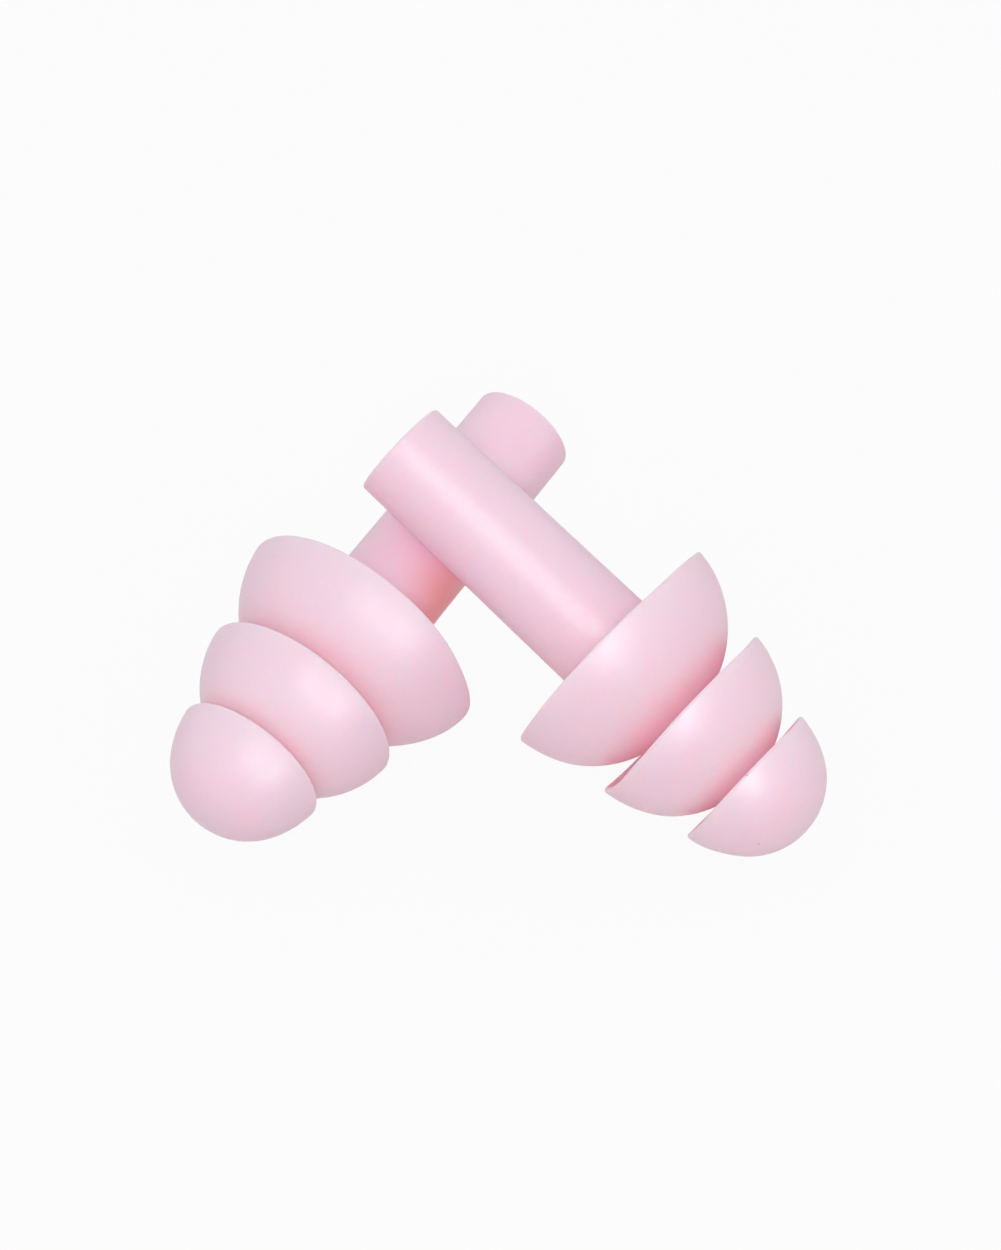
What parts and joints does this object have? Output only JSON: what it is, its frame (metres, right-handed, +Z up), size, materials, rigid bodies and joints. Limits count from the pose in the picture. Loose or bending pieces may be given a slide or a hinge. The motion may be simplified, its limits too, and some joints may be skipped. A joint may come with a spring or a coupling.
{
  "type": "ear plugs",
  "caption": "Pair of soft triple-flange ear plugs with round stems, one lying on its flanges and the other leaning across its stem.",
  "frame": {"origin": "on the table, in the middle of the pair's plan, at the bottom of the bounding box", "axes": "+Z up from the table, +X to the right along the pair's longest side, -Y towards the side that both noses point to"},
  "size_m": [0.0312, 0.0236, 0.016],
  "materials": {
    "silicone": "satin, slightly translucent pale pink silicone"
  },
  "bodies": {
    "lower_plug": {"lower_plug": "silicone"},
    "upper_plug": {"upper_plug": "silicone"}
  },
  "joints": [
    {"name": "upper_plug_lift", "type": "slide", "parent": "lower_plug", "child": "upper_plug", "axis": [0, 0, 1], "range_m": [0, 0.02]}
  ]
}
